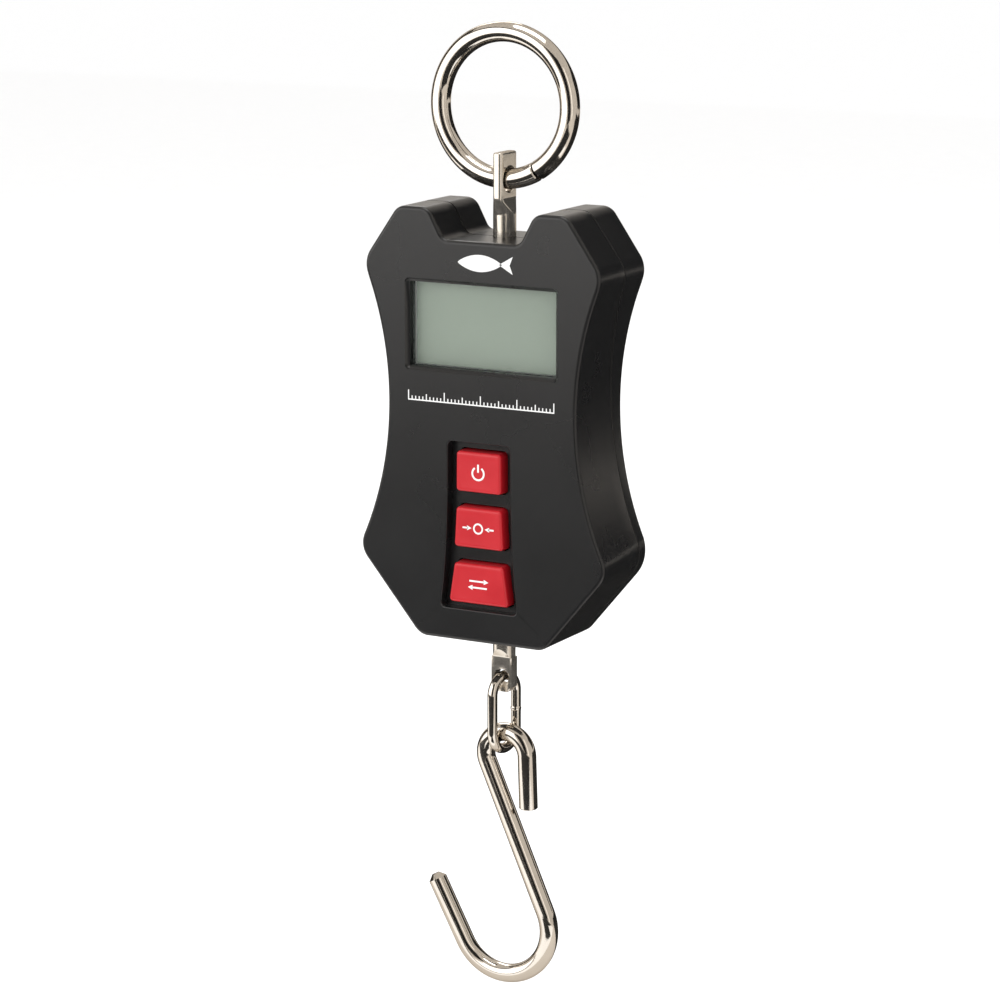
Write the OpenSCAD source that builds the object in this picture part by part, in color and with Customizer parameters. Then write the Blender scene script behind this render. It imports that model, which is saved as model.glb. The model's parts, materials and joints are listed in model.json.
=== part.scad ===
// Hanging digital fish scale with carry ring, swivel eye, chain link and hook.
// Millimetres. Origin: inside top of the carry ring. +Z up, front faces -Y, +X to the right.

/* [Carry ring and eyes] */
// radius of the ring measured to the middle of its wire
ring_r = 18.8; // [16:0.1:22]
// radius of the ring wire
ring_wire_r = 2.6; // [2:0.1:3.2]
// thickness of the flattened top eye
top_eye_t = 2.9; // [2.4:0.1:3.2]
// width of the flattened top eye, front to back
top_eye_w = 8.7; // [8:0.1:10]
// radius of the hole the ring passes through
top_eye_hole_r = 3.2; // [3:0.1:3.3]
// radius of both round rods
rod_r = 3; // [2.6:0.1:3.2]

/* [Case] */
// height of the notch floor below the top eye hole
notch_drop = 16; // [15:0.5:18]
// half width of the flat face at the upper corners
upper_half_w = 33.8; // [33:0.1:35]
// half width of the flat face at the lower corners
lower_half_w = 35.8; // [34:0.1:37]
// half width of the flat face at the waist
waist_half_w = 26.65; // [26:0.05:27.5]
// distance the sides stand outside the edge of the flat face
edge_out = 1.2; // [1:0.1:1.4]
// radius of the hollow in each side
waist_r = 91; // [88:1:100]
// distance from the rod axis to the front face
front_d = 13; // [13:0.1:14]
// distance from the rod axis to the back face
back_d = 13; // [13:0.1:14]
// thickness of the case walls
wall_t = 2; // [1.8:0.1:2.2]

/* [Display and keys] */
// half width of the display opening
lcd_half_w = 22.4; // [21:0.1:22.4]
// depth of the display window below the front face
lcd_depth = 2.5; // [2:0.1:2.5]
// depth of the key panel below the front face
key_depth = 3; // [2.4:0.1:3]
// height of the keys above the key panel
key_rise = 3.2; // [2.6:0.1:3.4]
// gap between a key and its hole
key_gap = 0.35; // [0.3:0.05:0.4]

/* [Link and hook] */
// radius of the chain link wire
link_wire_r = 1.35; // [1.2:0.05:1.4]
// distance between the two sides of the link, wire middle to wire middle
link_w = 10; // [10:0.1:10.4]
// length of the link, wire middle to wire middle
link_l = 20; // [19:0.5:22]
// angle the link is turned to the side
link_turn = 80; // [80:1:90]
// radius of the hook wire
hook_wire_r = 2.5; // [2:0.1:2.5]
// radius of the hook bowl to the wire middle
bowl_r = 13.6; // [12:0.1:15]
// radius of the small top loop to the wire middle
loop_r = 6.2; // [6:0.1:6.5]

/* [Show] */
// sub-part to draw

/* [Hidden] */

// steel loop at the top
ring_gap_deg = 1.6;
ring_gap_at = -60;
ring_z = -(ring_r - ring_wire_r);
eye_z = ring_z - ring_r;
eye_top = eye_z + 7;
eye_flat_end = eye_z - 4.6;
eye_round = eye_z - 9.2;

// case outline heights
notch_z = eye_z - notch_drop;
ear_z = notch_z + 8.1;
upper_z = notch_z - 5.8;
waist_z = notch_z - 42;
lower_z = notch_z - 82;
bottom_z = notch_z - 103.3;
waist_cx = waist_half_w + waist_r;
front_y = -front_d;
back_y = back_d;

// display
lcd_top = notch_z - 9.4;
lcd_bot = notch_z - 33.5;
lcd_h = lcd_top - lcd_bot;
lcd_mid = (lcd_top + lcd_bot) / 2;
window_y = front_y + lcd_depth;
window_t = 1;
lcd_bevel = 1;
lcd_corner_r = 1.3;
gasket_t = 0.5;
glass_t = 1.8;
zebra_t = 1.3;
glass_y = window_y + window_t + gasket_t;
board_y = glass_y + glass_t + zebra_t;
board_t = 1.2;
board_back = board_y + board_t;

// key panel
key_top = notch_z - 51.3;
key_bot = notch_z - 95.7;
key_top_w = 9.2;
key_bot_w = 11.4;
key_x = -0.6;
key_floor = front_y + key_depth;
key_back = key_floor + 1.4;
key_face = key_floor - key_rise;
key_flange_y = key_back + 0.3;
key_flange_t = 0.5;
switch_y = board_y - 1;
tip_y = key_flange_y + key_flange_t + 0.1;
tip_end = switch_y + 0.2;
tip_r = 1.7;
key_in = 2.5;
keys_z = [[key_top + 0.3, key_top - 15.6], [key_top - 14.5, key_top - 30.4],
    [key_top - 29.4, key_top - 45.3]];

// load cell
cell_half_w = 10;
cell_half_t = 4;
cell_top = notch_z - 23;
cell_bot = notch_z - 77;
slot_up = [notch_z - 39.5, notch_z - 37];
slot_low = [notch_z - 68, notch_z - 62];
cell_mid = notch_z - 50;
cell_screw = [7, notch_z - 29];
rod_top_end = notch_z - 35;
arm_hole_r = 3.4;
washer_t = 0.8;
nut_gap = 0.3;

// batteries and door
cell_r = 5.25;
cell_len = 43.7;
cell_x = 17;
cell_y = 5.2;
bay_top = notch_z - 44;
bay_bot = notch_z - 91.9;
bay_in_x = 11.4;
bay_out_x = 22.6;
bay_wall = 1;
bay_low_y = -0.6;
bay_high_y = 10.6;
door_half_w = 22.5;
door_gap = 0.4;
door_t = 2;
door_axis_z = notch_z - 91.2;
door_axis_y = back_y - 1;
door_top = notch_z - 44.1;
pin_r = 0.6;
pin_fit = 0.06;

// screws
case_screw_at = [[28.3, upper_z - 4.9], [30, lower_z + 1.8]];
case_boss_r = 2.9;
case_shank_r = 1.25;
case_floor_y = back_y - 2.2;
board_screw_at = [[17.5, notch_z - 39], [17.5, notch_z - 92]];

// lower eye, link and hook
low_eye_z = notch_z - 116;
low_eye_half_w = 3;
low_eye_half_t = 1.6;
low_eye_hole_r = 2.15;
low_eye_end = low_eye_z - 4;
low_flat_top = notch_z - 109.6;
link_top_z = low_eye_z + 0.1;
link_bot_z = link_top_z - link_l;
loop_c = [0.7, link_bot_z - 1.7];
bowl_c = [loop_c[0] - 0.6, loop_c[1] - 47.7];
hook_lean = loop_c - bowl_c;
shank_deg = 90 + asin((bowl_r + loop_r) / norm(hook_lean)) - atan2(hook_lean[0], hook_lean[1]);
leg_deg = 2;
leg_len = 14.3;
tip_deg = 208;
tip_len = 19.8;

rod_col = [0.78, 0.76, 0.73];
body_col = [0.12, 0.12, 0.125];
red_col = [0.8, 0.1, 0.08];
board_col = [0.08, 0.34, 0.2];

// ---------- outline of the case, seen from the front ----------
function unit2(v) = v / norm(v);
function turn90(v) = [v[1], -v[0]];
function waist_x(z) = waist_cx - sqrt(waist_r * waist_r - (z - waist_z) * (z - waist_z));

waist_n = 22;
waist_hi = upper_z - 4;
waist_lo = lower_z + 4;
waist_pts = [for (i = [0 : waist_n])
    let (z = waist_hi + (waist_lo - waist_hi) * i / waist_n) [waist_x(z), z]];

// clockwise from the notch, each entry is a corner and its rounding radius
half_corners = concat(
    [[[11.7, notch_z], 3.8], [[16, ear_z], 3], [[24.1, ear_z], 3.4],
        [[upper_half_w, upper_z], 5.7]],
    [for (p = waist_pts) [p, 0]],
    [[[lower_half_w, lower_z], 5], [[18, bottom_z], 4]]);
corner_count = len(half_corners);
all_corners = concat(half_corners,
    [for (i = [corner_count - 1 : -1 : 0])
        [[-half_corners[i][0][0], half_corners[i][0][1]], half_corners[i][1]]]);

function inset_corner(a, b, c, d) =
    let (n1 = turn90(unit2(b - a)), n2 = turn90(unit2(c - b)))
    b + d * (n1 + n2) / (1 + n1 * n2);
function inset_corners(list, d) = let (n = len(list)) [for (i = [0 : n - 1])
    [inset_corner(list[(i + n - 1) % n][0], list[i][0], list[(i + 1) % n][0], d),
        list[i][1]]];
function arc_points(a, b, c, r) =
    let (u = unit2(a - b), v = unit2(c - b), half = acos(u * v) / 2,
        run = r / tan(half), hub = b + unit2(u + v) * r / sin(half),
        p = b + u * run, q = b + v * run, sweep = 180 - 2 * half,
        side = (u[0] * v[1] - u[1] * v[0]) > 0 ? -1 : 1,
        steps = max(3, ceil(sweep / 9)))
    [for (k = [0 : steps]) let (t = side * sweep * k / steps, e = p - hub)
        hub + [e[0] * cos(t) - e[1] * sin(t), e[0] * sin(t) + e[1] * cos(t)]];
function rounded(list, shrink) = let (n = len(list)) [for (i = [0 : n - 1])
    let (a = list[(i + n - 1) % n][0], b = list[i][0], c = list[(i + 1) % n][0],
        u = b - a, v = c - b, convex = (u[0] * v[1] - u[1] * v[0]) < 0,
        r = list[i][1] == 0 ? 0 : max(0.4, list[i][1] - (convex ? shrink : -shrink)))
    each (r == 0 ? [b] : arc_points(a, b, c, r))];

module outline(d) {
    polygon(rounded(inset_corners(all_corners, d), d));
}

// a slab of the drawn shape from y0 (front) to y1 (back)
module slab(y0, y1) {
    translate([0, y1, 0])
        rotate([90, 0, 0])
            linear_extrude(y1 - y0)
                children();
}

module box_to(x0, x1, y0, y1, z0, z1) {
    translate([x0, y0, z0])
        cube([x1 - x0, y1 - y0, z1 - z0]);
}

module y_pin(x, z, y0, y1, r) {
    translate([x, y1, z])
        rotate([90, 0, 0])
            cylinder(h = y1 - y0, r = r, $fn = 48);
}

module both_sides() {
    children();
    mirror([1, 0, 0])
        children();
}

// ---------- case shells ----------
// the joint between the covers leans back from the rod to the waist
module front_region() {
    translate([-50, 0, 0])
        rotate([90, 0, 90])
            linear_extrude(100)
                polygon([[-30, ear_z + 12], [0, ear_z + 12], [0, notch_z], [1.2, notch_z - 8],
                    [4.4, notch_z - 24], [6.6, notch_z - 38], [7.8, notch_z - 52],
                    [8.2, notch_z - 64], [8.2, bottom_z - 10], [-30, bottom_z - 10]]);
}

module case_outside() {
    slab(front_y, front_y + 0.4)
        outline(0.35 - edge_out);
    slab(front_y + 0.4, back_y - 0.4)
        outline(-edge_out);
    slab(back_y - 0.4, back_y)
        outline(0.35 - edge_out);
}

// rectangular opening whose four walls lean inwards
module leaning_hole(half_w, z0, z1, y0, y1, lean) {
    intersection() {
        translate([0, 0, z0])
            linear_extrude(z1 - z0)
                polygon([[-half_w, y0], [half_w, y0], [half_w - lean, y1], [-half_w + lean, y1]]);
        translate([-half_w, 0, 0])
            rotate([90, 0, 90])
                linear_extrude(2 * half_w)
                    polygon([[y0, z0], [y0, z1], [y1, z1 - lean], [y1, z0 + lean]]);
    }
}

module rounded_opening(half_w, z0, z1, r) {
    translate([-half_w + r, z0])
        square([2 * half_w - 2 * r, z1 - z0]);
    translate([-half_w, z0 + r])
        square([2 * half_w, z1 - z0 - 2 * r]);
    for (x = [-half_w + r, half_w - r], z = [z0 + r, z1 - r]) {
        translate([x, z])
            circle(r = r, $fn = 32);
    }
}

module display_hole() {
    intersection() {
        union() {
            box_to(-lcd_half_w, lcd_half_w, front_y - 1, front_y, lcd_bot, lcd_top);
            leaning_hole(lcd_half_w, lcd_bot, lcd_top, front_y, front_y + lcd_bevel, lcd_bevel);
        }
        slab(front_y - 2, front_y + 2)
            rounded_opening(lcd_half_w, lcd_bot, lcd_top, lcd_corner_r);
    }
    box_to(-lcd_half_w + lcd_bevel, lcd_half_w - lcd_bevel, front_y + lcd_bevel, window_y + 1,
        lcd_bot + lcd_bevel, lcd_top - lcd_bevel);
    box_to(-lcd_half_w - 0.2, lcd_half_w + 0.2, window_y, window_y + 5,
        lcd_bot - 0.2, lcd_top + 0.2);
}

module case_cavity() {
    difference() {
        slab(front_y + wall_t, back_y - wall_t)
            outline(wall_t - edge_out);
        box_to(-lcd_half_w - 1.4, lcd_half_w + 1.4, front_y, window_y + 1.4,
            lcd_bot - 1.4, lcd_top + 1.4);
        for (s = [-1, 1], p = case_screw_at) {
            y_pin(s * p[0], p[1], front_y + 1, back_y - 1, case_boss_r);
        }
    }
}

function key_half_w(z) = let (t = (key_top - z) / (key_top - key_bot))
    key_top_w + (key_bot_w - key_top_w) * t * t * t;
key_n = 6;

// flared key outline between two heights, grown by out, with corner radius r
module key_shape(z1, z0, out, r) {
    polygon(rounded(concat(
        [for (i = [0 : key_n]) let (z = z1 + (z0 - z1) * i / key_n)
            [[key_x + key_half_w(z) + out, z + out * (1 - 2 * i / key_n)],
                i == 0 || i == key_n ? r : 0]],
        [for (i = [key_n : -1 : 0]) let (z = z1 + (z0 - z1) * i / key_n)
            [[key_x - key_half_w(z) - out, z + out * (1 - 2 * i / key_n)],
                i == 0 || i == key_n ? r : 0]]), 0));
}

module key_holes() {
    slab(front_y - 1, key_floor)
        key_shape(key_top, key_bot, 0, 1.4);
    for (k = keys_z) {
        slab(front_y - 1, key_back + 1)
            key_shape(k[0], k[1], -key_in + key_gap, 1.4);
    }
}

module shell_pair() {
    difference() {
        case_outside();
        case_cavity();
        translate([0, 0, notch_z - 8])
            cylinder(h = 20, r = rod_r + 0.15, $fn = 64);
        translate([0, 0, bottom_z - 6])
            cylinder(h = 11, r = arm_hole_r, $fn = 64);
        for (s = [-1, 1], p = case_screw_at) {
            y_pin(s * p[0], p[1], -1.5, back_y, case_shank_r);
            y_pin(s * p[0], p[1], case_floor_y, back_y + 1, 2.6);
        }
    }
}

module front_cover() {
    color(body_col)
    difference() {
        union() {
            intersection() {
                shell_pair();
                front_region();
            }
            for (s = [-1, 1], p = board_screw_at) {
                y_pin(s * p[0], p[1], front_y + 1, board_y, 2.3);
            }
            slab(front_y + 1, key_back)
                key_shape(key_top, key_bot, 1.3, 2);
        }
        display_hole();
        key_holes();
        for (s = [-1, 1], p = board_screw_at) {
            y_pin(s * p[0], p[1], board_y - 4, board_y + 1, 1);
        }
    }
}

module rear_cover() {
    color(body_col)
    difference() {
        union() {
            difference() {
                shell_pair();
                front_region();
            }
            both_sides()
                y_pin(cell_screw[0], cell_screw[1], cell_half_t, back_y - 1, 4);
            both_sides()
                battery_bay();
            both_sides()
                box_to(door_half_w + door_gap, door_half_w + door_gap + 1.6, 9.6, back_y - 1,
                    door_axis_z - 1.6, door_axis_z + 1.6);
        }
        box_to(-door_half_w - door_gap, door_half_w + door_gap, bay_high_y, back_y + 1,
            door_axis_z - 1 - door_gap, door_top + door_gap);
        translate([-door_half_w - door_gap - 1.3, door_axis_y, door_axis_z])
            rotate([0, 90, 0])
                cylinder(h = 2 * (door_half_w + door_gap + 1.3), r = pin_r + pin_fit, $fn = 32);
        box_to(-6, 6, back_y - 0.9, back_y + 1, door_top, door_top + 3.4);
        both_sides()
            y_pin(cell_screw[0], cell_screw[1], 0, back_y, 1.5);
        both_sides()
            y_pin(cell_screw[0], cell_screw[1], back_y - 2.6, back_y + 1, 2.6);
    }
}

module battery_bay() {
    box_to(bay_in_x - bay_wall + 0.2, bay_in_x, bay_low_y, bay_high_y,
        bay_bot - bay_wall, bay_top + bay_wall);
    box_to(bay_out_x, bay_out_x + bay_wall, bay_low_y, bay_high_y,
        bay_bot - bay_wall, bay_top + bay_wall);
    box_to(bay_in_x, bay_out_x, bay_low_y, bay_high_y, bay_top, bay_top + bay_wall);
    box_to(bay_in_x, bay_out_x, bay_low_y, bay_high_y, bay_bot - bay_wall, bay_bot);
    box_to(bay_in_x, bay_out_x, bay_low_y, bay_low_y + 0.4, bay_bot, bay_top);
    box_to(bay_out_x, bay_out_x + bay_wall, bay_high_y, back_y - 1.5,
        bay_bot - bay_wall, bay_top + bay_wall);
}

module case_screws() {
    color(rod_col)
    for (s = [-1, 1], p = case_screw_at) {
        translate([s * p[0], 0, p[1]])
            screw_y(case_floor_y, 1.7, 2.3, -1.2, case_shank_r);
    }
}

// pan head screw pointing to the front: head seat at y, shank end at y_end
module screw_y(seat_y, head_t, head_r, end_y, shank_r) {
    difference() {
        y_pin(0, 0, seat_y, seat_y + head_t, head_r);
        box_to(-head_r * 0.6, head_r * 0.6, seat_y + head_t * 0.5, seat_y + head_t + 1,
            -0.3, 0.3);
        box_to(-0.3, 0.3, seat_y + head_t * 0.5, seat_y + head_t + 1,
            -head_r * 0.6, head_r * 0.6);
    }
    y_pin(0, 0, end_y, seat_y, shank_r);
}

// ---------- display ----------
module frame_y(half_w, z0, z1, band, y0, y1) {
    difference() {
        box_to(-half_w, half_w, y0, y1, z0, z1);
        box_to(-half_w + band, half_w - band, y0 - 1, y1 + 1, z0 + band, z1 - band);
    }
}

module display_window() {
    color([0.6, 0.66, 0.6])
    box_to(-lcd_half_w - 0.1, lcd_half_w + 0.1, window_y, window_y + window_t,
        lcd_bot - 0.1, lcd_top + 0.1);
}

module window_gasket() {
    color([0.05, 0.05, 0.05])
    frame_y(lcd_half_w, lcd_bot, lcd_top, 1, window_y + window_t, glass_y);
}

module lcd_panel() {
    color([0.56, 0.62, 0.56])
    box_to(-21, 21, glass_y, glass_y + glass_t, lcd_bot + 1.2, lcd_top - 1.2);
}

module lcd_holder() {
    color([0.85, 0.85, 0.82])
    frame_y(lcd_half_w, lcd_bot, lcd_top, 1, glass_y, board_y);
}

module zebra_strips() {
    color([0.9, 0.6, 0.65])
    for (z = [lcd_bot + 1.4, lcd_top - 3.4]) {
        box_to(-20, 20, glass_y + glass_t, board_y, z, z + 2);
    }
}

// ---------- circuit board and keys ----------
module main_board() {
    color(board_col)
    difference() {
        slab(board_y, board_back)
            polygon([[-22, notch_z - 9], [22, notch_z - 9], [22, notch_z - 34],
                [20.5, notch_z - 36], [20.5, notch_z - 92], [17, notch_z - 95.5],
                [-17, notch_z - 95.5], [-20.5, notch_z - 92], [-20.5, notch_z - 36],
                [-22, notch_z - 34]]);
        for (s = [-1, 1], p = board_screw_at) {
            y_pin(s * p[0], p[1], board_y - 1, board_back + 1, 1.2);
        }
    }
}

module board_chips() {
    color([0.1, 0.1, 0.1]) {
        box_to(-16, -8, board_y - 1.2, board_y, notch_z - 49, notch_z - 43);
        box_to(9, 15, board_y - 1.2, board_y, notch_z - 48, notch_z - 44);
        for (z = [notch_z - 56, notch_z - 62, notch_z - 68]) {
            box_to(14, 16, board_y - 0.8, board_y, z - 1, z);
            box_to(-17, -15, board_y - 0.8, board_y, z - 1, z);
        }
    }
}

module board_screws() {
    color(rod_col)
    for (s = [-1, 1], p = board_screw_at) {
        translate([s * p[0], 0, p[1]])
            screw_y(board_back, 1.2, 2, board_y - 3.5, 1);
    }
}

module switch_bodies() {
    color([0.2, 0.2, 0.2])
    for (k = keys_z) {
        difference() {
            box_to(key_x - 3, key_x + 3, switch_y, board_y,
                (k[0] + k[1]) / 2 - 3, (k[0] + k[1]) / 2 + 3);
            y_pin(key_x, (k[0] + k[1]) / 2, switch_y - 1, board_y + 1, tip_r + 0.06);
        }
    }
}

module key_cap(k) {
    color(red_col) {
        slab(key_face, key_flange_y)
            key_shape(k[0], k[1], -key_in, 1.1);
        slab(key_flange_y, key_flange_y + key_flange_t)
            key_shape(k[0], k[1], -key_in + 0.9, 1.1);
        y_pin(key_x, (k[0] + k[1]) / 2, key_flange_y + key_flange_t, tip_y, 1.5);
    }
}

module switch_tip(k) {
    color([0.15, 0.15, 0.15])
    y_pin(key_x, (k[0] + k[1]) / 2, tip_y, tip_end, tip_r);
}

module power_button() {
    key_cap(keys_z[0]);
}

module power_switch_tip() {
    switch_tip(keys_z[0]);
}

module tare_button() {
    key_cap(keys_z[1]);
}

module tare_switch_tip() {
    switch_tip(keys_z[1]);
}

module unit_button() {
    key_cap(keys_z[2]);
}

module unit_switch_tip() {
    switch_tip(keys_z[2]);
}

// ---------- batteries and door ----------
module battery(side) {
    color([0.25, 0.3, 0.35]) {
        translate([side * cell_x, cell_y, bay_bot + 1.9])
            cylinder(h = cell_len, r = cell_r, $fn = 64);
        translate([side * cell_x, cell_y, side > 0 ? bay_bot + 1.9 + cell_len : bay_bot + 1.1])
            cylinder(h = 0.8, r = 1.9, $fn = 48);
    }
}

module battery_left() {
    battery(-1);
}

module battery_right() {
    battery(1);
}

module spring_stack(x, z0, z1) {
    translate([x, cell_y, z0])
        cylinder(h = 0.4, r = 4, $fn = 48);
    translate([x, cell_y, z0 + 0.4])
        cylinder(h = z1 - z0 - 0.4, r1 = 3.2, r2 = 2, $fn = 48);
}

module spring_contacts() {
    color(rod_col) {
        spring_stack(cell_x, bay_bot, bay_bot + 1.9);
        translate([-cell_x, cell_y, bay_top])
            mirror([0, 0, 1])
                translate([0, -cell_y, 0])
                    spring_stack(0, 0, bay_top - bay_bot - 1.9 - cell_len);
    }
}

module plate_contacts() {
    color(rod_col) {
        box_to(cell_x - 4, cell_x + 4, cell_y - 4, cell_y + 4,
            bay_bot + 2.7 + cell_len, bay_top);
        box_to(-cell_x - 4, -cell_x + 4, cell_y - 4, cell_y + 4, bay_bot, bay_bot + 1.1);
    }
}

module battery_door() {
    color(body_col)
    difference() {
        union() {
            box_to(-door_half_w, door_half_w, back_y - door_t, back_y, door_axis_z, door_top);
            translate([-door_half_w, door_axis_y, door_axis_z])
                rotate([0, 90, 0])
                    cylinder(h = 2 * door_half_w, r = door_t / 2, $fn = 48);
            translate([-door_half_w - door_gap - 1.1, door_axis_y, door_axis_z])
                rotate([0, 90, 0])
                    cylinder(h = 2 * (door_half_w + door_gap + 1.1), r = pin_r, $fn = 32);
        }
        for (i = [0 : 4]) {
            box_to(-7, 7, back_y - 0.6, back_y + 1, door_top - 4 - 2 * i, door_top - 3 - 2 * i);
        }
    }
}

// ---------- load path ----------
module carry_ring() {
    color(rod_col)
    translate([0, 0, ring_z])
        rotate([90, 0, 0])
            rotate_extrude(angle = 360 - ring_gap_deg, start = ring_gap_at + ring_gap_deg / 2,
                $fn = 96)
                translate([ring_r, 0])
                    circle(r = ring_wire_r, $fn = 48);
}

module top_eye_bolt() {
    color(rod_col) {
        difference() {
            union() {
                slab(-top_eye_w / 2, top_eye_w / 2)
                    polygon([[-top_eye_t / 2, eye_flat_end], [-top_eye_t / 2, eye_top - 0.5],
                        [-top_eye_t / 2 + 0.5, eye_top], [top_eye_t / 2 - 0.5, eye_top],
                        [top_eye_t / 2, eye_top - 0.5], [top_eye_t / 2, eye_flat_end]]);
                intersection() {
                    translate([0, 0, eye_round])
                        cylinder(h = eye_flat_end - eye_round, r1 = rod_r,
                            r2 = top_eye_w / 2, $fn = 64);
                    slab(-6, 6)
                        polygon([[-rod_r, eye_round], [-2.2, eye_round + 2.2],
                            [-top_eye_t / 2, eye_flat_end], [top_eye_t / 2, eye_flat_end],
                            [2.2, eye_round + 2.2], [rod_r, eye_round]]);
                }
            }
            translate([-4, 0, eye_z])
                rotate([0, 90, 0])
                    cylinder(h = 8, r = top_eye_hole_r, $fn = 64);
        }
        translate([0, 0, rod_top_end])
            cylinder(h = eye_round - rod_top_end, r = rod_r, $fn = 64);
    }
}

module top_lock_nut() {
    color(rod_col)
    translate([0, 0, cell_top])
        difference() {
            cylinder(h = 3, r = 4.9, $fn = 6);
            translate([0, 0, -1])
                cylinder(h = 5, r = rod_r, $fn = 64);
        }
}

module load_cell() {
    color([0.7, 0.71, 0.73])
    difference() {
        box_to(-cell_half_w, cell_half_w, -cell_half_t, cell_half_t, cell_bot, cell_top);
        box_to(-cell_half_w - 1, 5, -6, 6, slot_up[0], slot_up[1]);
        box_to(-5.5, cell_half_w + 1, -6, 6, slot_low[0], slot_low[1]);
        y_pin(0, cell_mid, -6, 6, 5.5);
        translate([0, 0, rod_top_end])
            cylinder(h = cell_top - rod_top_end + 1, r = rod_r, $fn = 64);
        translate([0, 0, cell_bot - 1])
            cylinder(h = slot_low[0] - cell_bot + 2, r = arm_hole_r, $fn = 64);
        both_sides()
            y_pin(cell_screw[0], cell_screw[1], -1, 6, 1.3);
    }
}

module strain_gauges() {
    color([0.85, 0.6, 0.25])
    for (s = [-1, 1]) {
        box_to(s > 0 ? cell_half_w : -cell_half_w - 0.2, s > 0 ? cell_half_w + 0.2 : -cell_half_w,
            -2, 2, cell_mid - 3, cell_mid + 3);
    }
}

module load_cell_screws() {
    color(rod_col)
    for (s = [-1, 1]) {
        translate([s * cell_screw[0], 0, cell_screw[1]])
            screw_y(back_y - 2.6, 1.8, 2.3, -1, 1.3);
    }
}

module thrust_washer() {
    color([0.8, 0.7, 0.4])
    translate([0, 0, slot_low[0]])
        difference() {
            cylinder(h = washer_t, r = 4.3, $fn = 64);
            translate([0, 0, -1])
                cylinder(h = 3, r = arm_hole_r, $fn = 64);
        }
}

module lower_eye_bolt() {
    color(rod_col) {
        difference() {
            union() {
                slab(-low_eye_half_t, low_eye_half_t)
                    polygon([[-low_eye_half_w, low_flat_top - 1], [low_eye_half_w, low_flat_top - 1],
                        [low_eye_half_w, low_eye_end + 1.4], [low_eye_half_w - 1.2, low_eye_end],
                        [-low_eye_half_w + 1.2, low_eye_end], [-low_eye_half_w, low_eye_end + 1.4]]);
                intersection() {
                    translate([0, 0, low_flat_top - 1])
                        cylinder(h = 2.4, r = rod_r, $fn = 64);
                    translate([-5, 0, 0])
                        rotate([90, 0, 90])
                            linear_extrude(10)
                                polygon([[-low_eye_half_t, low_flat_top - 1],
                                    [low_eye_half_t, low_flat_top - 1],
                                    [rod_r, low_flat_top + 1.4], [-rod_r, low_flat_top + 1.4]]);
                }
            }
            y_pin(0, low_eye_z, -4, 4, low_eye_hole_r);
        }
        translate([0, 0, low_flat_top + 1.4])
            cylinder(h = slot_low[0] + washer_t + nut_gap - low_flat_top - 1.4, r = rod_r, $fn = 64);
        translate([0, 0, slot_low[0] + washer_t + nut_gap])
            cylinder(h = 3.6, r = 2.5, $fn = 64);
    }
}

module lower_lock_nut() {
    color(rod_col)
    translate([0, 0, slot_low[0] + washer_t + nut_gap])
        difference() {
            cylinder(h = 3.2, r = 4.4, $fn = 6);
            translate([0, 0, -1])
                cylinder(h = 5, r = 2.5, $fn = 64);
        }
}

module wire_arc(c, r, wire, from_deg, to_deg) {
    translate([c[0], 0, c[1]])
        rotate([90, 0, 0])
            rotate_extrude(angle = to_deg - from_deg, start = from_deg, $fn = 96)
                translate([r, 0])
                    circle(r = wire, $fn = 48);
}

module wire_run(p, q, wire) {
    translate([p[0], 0, p[1]])
        rotate([0, atan2(q[0] - p[0], q[1] - p[1]), 0])
            cylinder(h = norm(q - p), r = wire, $fn = 48);
}

// straight run with a conical end
module wire_tip(p, q, wire, cone) {
    run = norm(q - p);
    translate([p[0], 0, p[1]])
        rotate([0, atan2(q[0] - p[0], q[1] - p[1]), 0])
            rotate_extrude($fn = 48)
                polygon([[0, 0], [wire, 0], [wire, run - cone], [wire - cone, run], [0, run]]);
}

function on_circle(c, r, deg) = c + r * [cos(deg), sin(deg)];

module chain_link() {
    half = link_w / 2;
    top = [0, link_top_z - half];
    low = [0, link_bot_z + half];
    color(rod_col)
    rotate([0, 0, link_turn]) {
        wire_arc(top, half, link_wire_r, 0, 180);
        wire_arc(low, half, link_wire_r, 180, 360);
        wire_run(low + [half, 0], top + [half, 0], link_wire_r);
        wire_run(low - [half, 0], top - [half, 0], link_wire_r);
    }
}

// short sleeve where a bend of the hook meets a straight run
module wire_joint(p, deg, wire) {
    translate([p[0], 0, p[1]])
        rotate([0, 90 - deg, 0])
            translate([0, 0, -0.1])
                cylinder(h = 0.2, r = wire + 0.015, $fn = 48);
}

module hook() {
    side = shank_deg + 90;
    cut = 0.05;
    loop_cut = cut / loop_r * 57.3;
    bowl_cut = cut / bowl_r * 57.3;
    leg_dir = [sin(leg_deg), -cos(leg_deg)];
    shank_dir = [cos(shank_deg), sin(shank_deg)];
    leg_from = on_circle(loop_c, loop_r, leg_deg);
    shank_low = on_circle(bowl_c, bowl_r, shank_deg - 90);
    shank_high = on_circle(loop_c, loop_r, side);
    tip_from = on_circle(bowl_c, bowl_r, tip_deg);
    tip_dir = [cos(tip_deg - 90), sin(tip_deg - 90)];
    color(rod_col) {
        wire_arc(loop_c, loop_r, hook_wire_r, leg_deg + loop_cut, side - loop_cut);
        wire_joint(leg_from, leg_deg - 90, hook_wire_r);
        wire_run(leg_from + cut * leg_dir, leg_from + leg_len * leg_dir, hook_wire_r);
        wire_joint(shank_high, shank_deg, hook_wire_r);
        wire_run(shank_low + cut * shank_dir, shank_high - cut * shank_dir, hook_wire_r);
        wire_joint(shank_low, shank_deg, hook_wire_r);
        wire_arc(bowl_c, bowl_r, hook_wire_r, tip_deg + bowl_cut, shank_deg + 270 - bowl_cut);
        wire_joint(tip_from, tip_deg - 90, hook_wire_r);
        wire_tip(tip_from + cut * tip_dir, tip_from + tip_len * tip_dir, hook_wire_r, 1.5);
    }
}

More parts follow.
